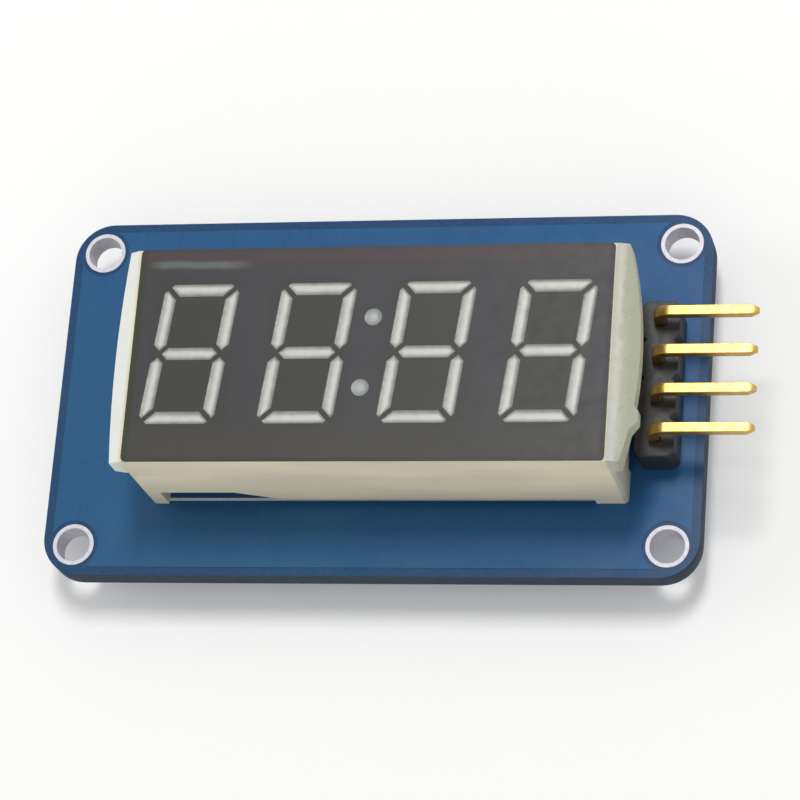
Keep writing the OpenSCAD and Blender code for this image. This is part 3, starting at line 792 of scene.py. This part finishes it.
def circle(centre, radius, steps=32):
    """Outline of a circle."""
    turns = [2 * math.pi * i / steps for i in range(steps)]
    return [(centre[0] + radius * math.cos(a), centre[1] + radius * math.sin(a)) for a in turns]


def grown(low, high, margin):
    """Corners of a box in plan, moved outwards by a margin in X and one in Y."""
    return (low[0] - margin[0], low[1] - margin[1]), (high[0] + margin[0], high[1] + margin[1])


def rounded_box(low, high, radius, steps=8):
    """Outline of a rectangle between two corners, with rounded corners."""
    points = []
    corners = (
        (high[0], high[1], 0), (low[0], high[1], 90), (low[0], low[1], 180), (high[0], low[1], 270)
    )
    for x, y, start in corners:
        inner_x = x - radius if x == high[0] else x + radius
        inner_y = y - radius if y == high[1] else y + radius
        for i in range(steps + 1):
            a = math.radians(start + 90 * i / steps)
            points.append((inner_x + radius * math.cos(a), inner_y + radius * math.sin(a)))
    return points


def band(path, width, steps=6):
    """Outline of a line of that width along a path, with mitred bends and round ends."""
    half = width / 2
    points = [Vector(p) for p in path]
    runs = [(b - a).normalized() for a, b in zip(points, points[1:])]
    left, right = [], []
    for i, point in enumerate(points):
        before = runs[max(i - 1, 0)]
        after = runs[min(i, len(runs) - 1)]
        along = (before + after).normalized()
        side = Vector((-along.y, along.x))
        reach = half / side.dot(Vector((-after.y, after.x)))
        left.append(point + side * reach)
        right.append(point - side * reach)
    outline = []
    for point, run, edge in ((points[-1], runs[-1], right), (points[0], -runs[0], left[::-1])):
        outline += edge
        start = math.atan2(run.y, run.x) - math.pi / 2
        for i in range(1, steps):
            a = start + math.pi * i / steps
            outline.append(Vector((point.x + half * math.cos(a), point.y + half * math.sin(a))))
    return [(p.x, p.y) for p in outline]


def within(spot, outline):
    """True if an outline goes round a spot."""
    found = False
    for (x1, y1), (x2, y2) in zip(outline, outline[1:] + outline[:1]):
        if (y1 > spot.y) != (y2 > spot.y):
            if spot.x < x1 + (spot.y - y1) / (y2 - y1) * (x2 - x1):
                found = not found
    return found


def within_any(spot, outlines):
    return any(within(spot, outline) for outline in outlines)


# Flat pieces

def triangles(outlines):
    """Points and triangles of a flat mesh that has every outline among its edges."""
    spots = []
    edges = []
    for outline in outlines:
        start = len(spots)
        spots += [Vector(point) for point in outline]
        edges += [(start + i, start + (i + 1) % len(outline)) for i in range(len(outline))]
    found = delaunay_2d_cdt(spots, edges, [], 0, CDT_NEAR)
    return found[0], found[2]


def plate(name, solid, gaps, islands, low, high, slot, look):
    """Closed plates between two levels: solid outlines less the gaps, and islands in the gaps."""
    spots, faces = triangles(solid + gaps + islands)
    body = bmesh.new()
    verts = [body.verts.new((spot.x * MM, spot.y * MM, low * MM)) for spot in spots]
    for corners in faces:
        middle = sum((spots[i] for i in corners), Vector((0, 0))) / len(corners)
        kept = within_any(middle, solid) and not within_any(middle, gaps)
        if kept or within_any(middle, islands):
            body.faces.new([verts[i] for i in corners])
    loose = [vert for vert in verts if not vert.link_faces]
    bmesh.ops.delete(body, geom=loose, context="VERTS")
    raised = bmesh.ops.extrude_face_region(body, geom=list(body.faces))["geom"]
    tops = [part for part in raised if isinstance(part, bmesh.types.BMVert)]
    bmesh.ops.translate(body, verts=tops, vec=(0, 0, (high - low) * MM))
    bmesh.ops.recalc_face_normals(body, faces=body.faces)
    filed(mesh_piece(name, body, sharp=30), slot, look)


# Copper under the mask

def hole_gaps():
    """Bare laminate under the mask round every drilled hole."""
    gaps = [circle(hole, POUR_HOLE_R, steps=48) for hole in HOLES]
    return gaps + [circle(site, PAD_GAP_R) for site in LEADS + PINS]


def part_gaps():
    """Bare laminate under the mask round the lands of the chip and of the small parts."""
    reach = LEGS_HIGH[1] + CHIP_GAP_ALONG
    west = (LEGS_LOW[0] - CHIP_GAP_OUT, CHIP_LOW[0] + CHIP_GAP_IN)
    east = (CHIP_HIGH[0] - CHIP_GAP_IN, LEGS_HIGH[0] + CHIP_GAP_OUT)
    boxes = [rounded_box((x1, -reach), (x2, reach), CHIP_GAP_R) for x1, x2 in (west, east)]
    for name in SMALL_PARTS:
        boxes.append(rounded_box(*grown(*box_mm(name + "_ends"), PART_GAP), PART_GAP_R))
    return boxes


def leg_track(k, side, row, x):
    """Path from a leg of the chip's inner row to a display lead, nested inside the one before."""
    leg_x = LEGS_HIGH[0] - TOE_INSET
    leg_y = side * (LEGS_HIGH[1] - LEG_HALF_W - LEG_PITCH * k)
    if k == 0:
        return [(leg_x, leg_y), (leg_x + END_TRACK_START, leg_y), (x - END_TRACK_BEND, row), (x, row)]
    lane = side * (LANE_OUTER - LANE_PITCH * k)
    turn_x = leg_x + LANE_START
    path = [(leg_x, leg_y), (turn_x, leg_y), (turn_x + abs(lane - leg_y), lane)]
    return path + [(x - LANE_BEND, lane), (x, lane + side * LANE_BEND), (x, row)]


def back_tracks():
    """Paths from the chip's inner legs to the display's leads, and a stub at each header pin."""
    rows = sorted({round(y, 4) for x, y in LEADS})
    columns = sorted({round(x, 4) for x, y in LEADS})
    paths = []
    for side, row in zip((-1, 1), rows):
        for k, x in enumerate(columns[:TRACKS_A_ROW]):
            paths.append(leg_track(k, side, row, x))
    return paths + [[(x, y), (x - PIN_TRACK, y)] for x, y in PINS]


def copper(name, paths, gaps, low, high):
    """Ground copper with gaps, and tracks in gaps of their own, all under the mask."""
    corners = grown(BOARD_LOW, BOARD_HIGH, (-POUR_INSET, -POUR_INSET))
    ground = rounded_box(*corners, POUR_CORNER_R)
    gaps = hole_gaps() + gaps + [band(path, TRACK_W + 2 * TRACK_GAP) for path in paths]
    tracks = [band(path, TRACK_W) for path in paths]
    plate(name, [ground], gaps, tracks, low, high, "board_mask", "mask_on_copper")


def board_copper():
    """Relief of the copper on both faces of the board."""
    top = BOARD_HIGH[2]
    bottom = BOARD_LOW[2]
    copper("front_copper", FRONT_TRACKS, [], top - PLATE_DIP, top + MASK_RISE)
    gaps = part_gaps() + [circle(site, VIA_GAP_R) for site in VIA_SITES]
    copper("back_copper", back_tracks(), gaps, bottom - MASK_RISE, bottom + PLATE_DIP)


def turned(body, profile, centre, steps=24):
    """Adds a closed ring to a bmesh, turned from a profile of radius and height."""
    loops = []
    for radius, height in profile:
        spots = [(x, y, height) for x, y in circle(centre, radius, steps)]
        loops.append([body.verts.new([value * MM for value in spot]) for spot in spots])
    for inner, outer in zip(loops, loops[1:] + loops[:1]):
        for i in range(steps):
            j = (i + 1) % steps
            body.faces.new((inner[i], inner[j], outer[j], outer[i]))


def vias():
    """Vias under the mask: a low ring with a dimple on either face."""
    for name, face, up in (("front_vias", BOARD_HIGH[2], 1), ("back_vias", BOARD_LOW[2], -1)):
        foot = face - up * PLATE_DIP
        rise = up * (MASK_RISE + VIA_RISE)
        ring = [(radius, face + rise * share) for radius, share in VIA_PROFILE]
        body = bmesh.new()
        for site in VIA_SITES:
            turned(body, [(VIA_DIMPLE_R, foot), *ring, (VIA_FOOT_R, foot)], site)
        bmesh.ops.recalc_face_normals(body, faces=body.faces)
        filed(mesh_piece(name, body, sharp=60), "board_mask", "mask_on_copper")


# Printed outlines

def frame_print(name, corners, level, up, radius=0.0):
    """A printed rectangle on one of the board's faces."""
    half = PRINT_LINE / 2
    outer = rounded_box(*grown(*corners, (half, half)), radius + half)
    inner = rounded_box(*grown(*corners, (-half, -half)), max(radius - half, LEAST_PRINT_R))
    bottom, top = sorted((level - up * PLATE_DIP, level + up * INK_RISE))
    plate(name, [outer], [inner], [], bottom, top, "white_epoxy", "white_ink")


def prints():
    """White printed outlines of the parts on both faces, without any letters."""
    front = BOARD_HIGH[2] + MASK_RISE
    back = BOARD_LOW[2] - MASK_RISE
    middle_x = (FILM_LOW[0] + FILM_HIGH[0]) / 2
    low_y, high_y = DISPLAY_PRINT_Y
    display = ((middle_x - DISPLAY_PRINT_HALF, low_y), (middle_x + DISPLAY_PRINT_HALF, high_y))
    frame_print("display_print", display, front, 1)
    frame_print("chip_print", grown(CHIP_LOW, CHIP_HIGH, CHIP_PRINT), back, -1)
    for name in SMALL_PARTS:
        corners = grown(*box_mm(name + "_ends"), PART_PRINT)
        frame_print(name + "_print", corners, back, -1, PART_PRINT_R)


def stand_ins():
    """Copies with rounded edges, crowned tops or wavy skins of the nodes whose edges show."""
    soften("circuit_board", 0.05)
    soften("display_housing", 0.1, steps=3)
    soften("face_film", 0.03)
    soften("header_insulator", 0.09)
    soften("chip_body", 0.1, steps=3)
    soften("chip_legs", 0.05)
    for i in range(1, 5):
        soften(f"header_pin_{i}", 0.05)
        soften(f"capacitor_{i}_ends", 0.04)
        cast_fills(f"digit_{i}_segments", "white_epoxy", "cast_segment")
    cast_fills("colon_dots", "colon_epoxy", "cast_colon")
    for i in range(1, 3):
        soften(f"resistor_{i}_ends", 0.02, steps=1)
    uneven("display_joints", swell=0.14, size=0.7, sites=LEADS, grip=LEAD_GRIP)
    uneven("header_joints", swell=0.14, size=0.7, sites=PINS, grip=PIN_GRIP)
    uneven("chip_joints", swell=0.05, size=0.3)
    uneven("part_joints", swell=0.05, size=0.3)


# Studio: places and sizes in metres, and the roll in degrees

CAMERA_PLACE = (0.05202, -0.07536, 0.20206)
CAMERA_TARGET = (0.0018, -0.000743, 0.002642)
CAMERA_ROLL = -31.919
CAMERA_LENS = 157.1
CAMERA_SENSOR = 36.0
CAMERA_NEAR = 0.005
CAMERA_FAR = 20.0
WORLD_LIGHT = 0.52
SHOWN_WHITE = 1.0
WHITE = (1.0, 1.0, 1.0, 1.0)
FLOOR_SIZE = 3.0
FLOOR_SHOWN_WHITE = 0.13
FLOOR_DROP = 0.02
# Name, place, width, height and power of each lamp
LAMPS = (
    ("key_lamp", (0.03, 0.175, 0.50), 0.09, 0.16, 1.25),
    ("west_lamp", (-0.40, 0.05, 0.20), 0.2, 0.2, 0.2),
    ("front_lamp", (0.08, -0.45, 0.16), 0.3, 0.3, 0.17),
)


def add_camera():
    """Camera at the photograph's place, turned about its own view."""
    data = bpy.data.cameras.new("camera")
    data.lens = CAMERA_LENS
    data.sensor_width = CAMERA_SENSOR
    data.clip_start = CAMERA_NEAR
    data.clip_end = CAMERA_FAR
    camera = bpy.data.objects.new("camera", data)
    bpy.context.scene.collection.objects.link(camera)
    place = Vector(CAMERA_PLACE)
    aim = (Vector(CAMERA_TARGET) - place).to_track_quat("-Z", "Y")
    turn = Matrix.Rotation(math.radians(CAMERA_ROLL), 4, "Z")
    camera.matrix_world = Matrix.Translation(place) @ aim.to_matrix().to_4x4() @ turn
    bpy.context.scene.camera = camera


def seen_rays(tree):
    """1 for camera, glossy and transmission rays, and 0 for the rays that light the object."""
    path = tree.nodes.new("ShaderNodeLightPath")
    seen = path.outputs["Is Camera Ray"]
    for ray in ("Is Glossy Ray", "Is Transmission Ray"):
        either = tree.nodes.new("ShaderNodeMath")
        either.operation = "MAXIMUM"
        tree.links.new(seen, either.inputs[0])
        tree.links.new(path.outputs[ray], either.inputs[1])
        seen = either.outputs[0]
    return seen


def mix_shaders(tree, share, first, second):
    """Mixes two shaders by the share of the second."""
    mix = tree.nodes.new("ShaderNodeMixShader")
    for socket, source in zip(mix.inputs, (share, first, second)):
        tree.links.new(source, socket)
    return mix.outputs[0]


def add_world():
    """Even light on the object, seen as plain white."""
    world = bpy.data.worlds.new("studio")
    bpy.context.scene.world = world
    world.use_nodes = True
    tree = world.node_tree
    lit = tree.nodes["Background"]
    seen = tree.nodes.new("ShaderNodeBackground")
    for background, strength in ((lit, WORLD_LIGHT), (seen, SHOWN_WHITE)):
        background.inputs["Color"].default_value = WHITE
        background.inputs["Strength"].default_value = strength
    mixed = mix_shaders(tree, seen_rays(tree), lit.outputs[0], seen.outputs[0])
    tree.links.new(mixed, tree.nodes["World Output"].inputs[0])


def floor_paper():
    """White paper that keeps the shadow, shown lighter to the camera, and clear from below."""
    look = Look("floor_paper", Base_Color=FLOOR_WHITE, Roughness=0.9, Specular_IOR_Level=0.1)
    white = look.node("ShaderNodeEmission")
    white.inputs["Strength"].default_value = SHOWN_WHITE
    shown = look.times(seen_rays(look.tree), FLOOR_SHOWN_WHITE)
    paper = mix_shaders(look.tree, shown, look.shader.outputs[0], white.outputs[0])
    side = look.node("ShaderNodeNewGeometry")
    clear = look.node("ShaderNodeBsdfTransparent")
    one_sided = mix_shaders(look.tree, side.outputs["Backfacing"], paper, clear.outputs[0])
    look.link(one_sided, look.tree.nodes["Material Output"].inputs["Surface"])
    return look.material


def add_floor():
    """Plain floor just under the object."""
    level = cad_low.z - FLOOR_DROP * MM
    bpy.ops.mesh.primitive_plane_add(size=FLOOR_SIZE, location=(0, 0, level))
    floor = bpy.context.object
    floor.name = "floor"
    floor.data.materials.append(floor_paper())


def add_lamp(name, place, width, height, power):
    """Rectangular lamp aimed at the object."""
    data = bpy.data.lights.new(name, "AREA")
    data.shape = "RECTANGLE"
    data.size = width
    data.size_y = height
    data.energy = power
    lamp = bpy.data.objects.new(name, data)
    bpy.context.scene.collection.objects.link(lamp)
    lamp.location = place
    lamp.rotation_mode = "QUATERNION"
    lamp.rotation_quaternion = (-Vector(place)).to_track_quat("-Z", "Y")


def studio():
    """Camera, light and floor."""
    bpy.context.scene.view_settings.view_transform = "Standard"
    add_camera()
    add_world()
    add_floor()
    for lamp in LAMPS:
        add_lamp(*lamp)


dress()
stand_ins()
board_copper()
vias()
prints()
studio()
